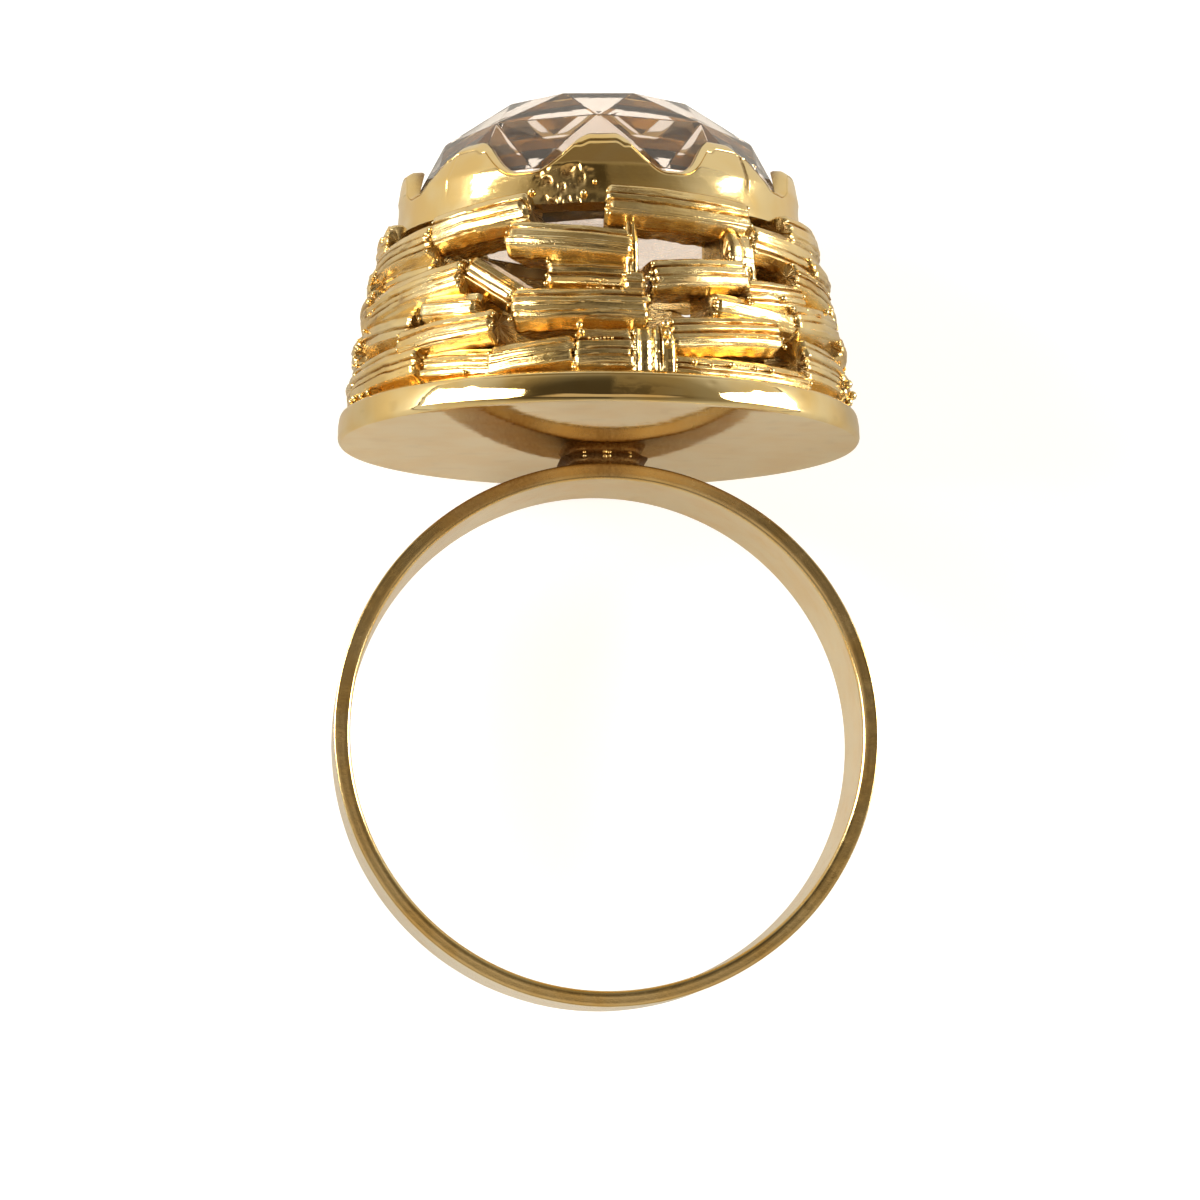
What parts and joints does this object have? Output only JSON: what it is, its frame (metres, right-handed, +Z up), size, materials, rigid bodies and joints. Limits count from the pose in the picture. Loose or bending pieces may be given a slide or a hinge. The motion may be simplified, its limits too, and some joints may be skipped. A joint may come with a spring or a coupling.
{
  "type": "rock crystal ring",
  "caption": "Finger ring with a plain round band and a tall open gallery of bark-textured gold staves that carries a domed, faceted clear crystal in a scalloped bezel.",
  "frame": {"origin": "on the floor under the middle of the ring's box, as the ring lies on its side", "axes": "+Z up from the floor, along the finger hole apart from a 10.1 degree tilt; +Y from the band to the stone; +X across the ring"},
  "size_m": [0.0186, 0.0316, 0.0175],
  "materials": {
    "gold": "bark-textured staves, satin plate and band, 14 carat yellow gold",
    "crystal": "polished clear rock crystal, lightly worn facet edges"
  },
  "bodies": {
    "root": {"mounting": "gold", "crystal": "crystal"}
  },
  "joints": []
}
